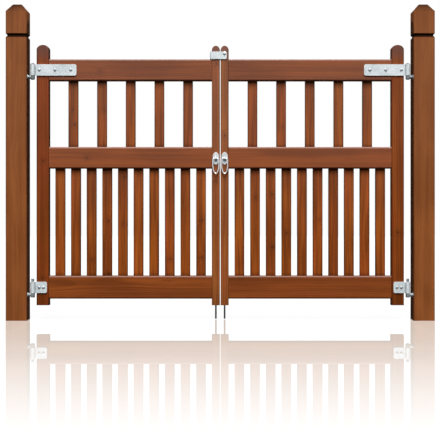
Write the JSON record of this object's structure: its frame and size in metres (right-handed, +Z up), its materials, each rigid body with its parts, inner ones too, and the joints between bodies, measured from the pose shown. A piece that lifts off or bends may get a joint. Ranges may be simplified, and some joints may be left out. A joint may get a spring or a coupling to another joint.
{
  "type": "garden gate",
  "caption": "Slatted timber garden gate: mirrored leaves hang on galvanised strap hinges between bevelled posts, with ring pulls, drop bolts and a throw-over loop.",
  "frame": {"origin": "on the ground, in the middle of the opening and of the posts' depth", "axes": "+X to the right across the opening, -Y to the front with the hinge bands, +Z up"},
  "size_m": [2.01, 0.1, 1.485],
  "materials": {
    "post_timber": "brown stain",
    "leaf_timber": "red-brown stain",
    "galvanised_steel": "hot-dip galvanised",
    "dark_steel": "dark, oiled"
  },
  "bodies": {
    "posts": {"left_post": "post_timber", "left_gate_hooks": "galvanised_steel", "right_post": "post_timber", "right_gate_hooks": "galvanised_steel"},
    "left_leaf": {"left_hanging_stile": "leaf_timber", "left_closing_stile": "leaf_timber", "left_top_rail": "leaf_timber", "left_middle_rail": "leaf_timber", "left_bottom_rail": "leaf_timber", "left_upper_slat_1": "leaf_timber", "left_upper_slat_2": "leaf_timber", "left_upper_slat_3": "leaf_timber", "left_upper_slat_4": "leaf_timber", "left_upper_slat_5": "leaf_timber", "left_lower_slat_1": "leaf_timber", "left_lower_slat_2": "leaf_timber", "left_lower_slat_3": "leaf_timber", "left_lower_slat_4": "leaf_timber", "left_lower_slat_5": "leaf_timber", "left_lower_slat_6": "leaf_timber", "left_lower_slat_7": "leaf_timber", "left_lower_slat_8": "leaf_timber", "left_lower_slat_9": "leaf_timber", "left_lower_slat_10": "leaf_timber", "left_upper_band": "galvanised_steel", "left_lower_band": "galvanised_steel", "left_pull_plate": "galvanised_steel", "left_bolt_guides": "galvanised_steel", "left_leaf_screws": "galvanised_steel"},
    "left_pull_ring": {"left_pull_ring": "galvanised_steel"},
    "left_drop_bolt": {"left_drop_bolt": "dark_steel"},
    "right_leaf": {"right_hanging_stile": "leaf_timber", "right_closing_stile": "leaf_timber", "right_top_rail": "leaf_timber", "right_middle_rail": "leaf_timber", "right_bottom_rail": "leaf_timber", "right_upper_slat_1": "leaf_timber", "right_upper_slat_2": "leaf_timber", "right_upper_slat_3": "leaf_timber", "right_upper_slat_4": "leaf_timber", "right_upper_slat_5": "leaf_timber", "right_lower_slat_1": "leaf_timber", "right_lower_slat_2": "leaf_timber", "right_lower_slat_3": "leaf_timber", "right_lower_slat_4": "leaf_timber", "right_lower_slat_5": "leaf_timber", "right_lower_slat_6": "leaf_timber", "right_lower_slat_7": "leaf_timber", "right_lower_slat_8": "leaf_timber", "right_lower_slat_9": "leaf_timber", "right_lower_slat_10": "leaf_timber", "right_upper_band": "galvanised_steel", "right_lower_band": "galvanised_steel", "right_pull_plate": "galvanised_steel", "right_bolt_guides": "galvanised_steel", "right_leaf_screws": "galvanised_steel", "loop_bolt_and_nut": "galvanised_steel"},
    "right_pull_ring": {"right_pull_ring": "galvanised_steel"},
    "right_drop_bolt": {"right_drop_bolt": "dark_steel"},
    "throw_over_loop": {"throw_over_loop": "galvanised_steel"}
  },
  "joints": [
    {"name": "left_leaf_swing", "type": "hinge", "parent": "posts", "child": "left_leaf", "pos_m": [-0.88, -0.03408, 0.66], "axis": [0, 0, -1], "range_deg": [0, 145]},
    {"name": "right_leaf_swing", "type": "hinge", "parent": "posts", "child": "right_leaf", "pos_m": [0.88, -0.03408, 0.66], "axis": [0, 0, 1], "range_deg": [0, 145]},
    {"name": "left_ring_swing", "type": "hinge", "parent": "left_leaf", "child": "left_pull_ring", "pos_m": [-0.02075, -0.0325, 0.761], "axis": [-1, 0, 0], "range_deg": [0, 165]},
    {"name": "right_ring_swing", "type": "hinge", "parent": "right_leaf", "child": "right_pull_ring", "pos_m": [0.02075, -0.0325, 0.761], "axis": [-1, 0, 0], "range_deg": [0, 165]},
    {"name": "left_bolt_slide", "type": "slide", "parent": "left_leaf", "child": "left_drop_bolt", "axis": [0, 0, 1], "range_m": [0, 0.07]},
    {"name": "right_bolt_slide", "type": "slide", "parent": "right_leaf", "child": "right_drop_bolt", "axis": [0, 0, 1], "range_m": [0, 0.07]},
    {"name": "loop_throw", "type": "hinge", "parent": "right_leaf", "child": "throw_over_loop", "pos_m": [0.02075, 0, 1.2549], "axis": [0, 1, 0], "range_deg": [0, 192]}
  ]
}
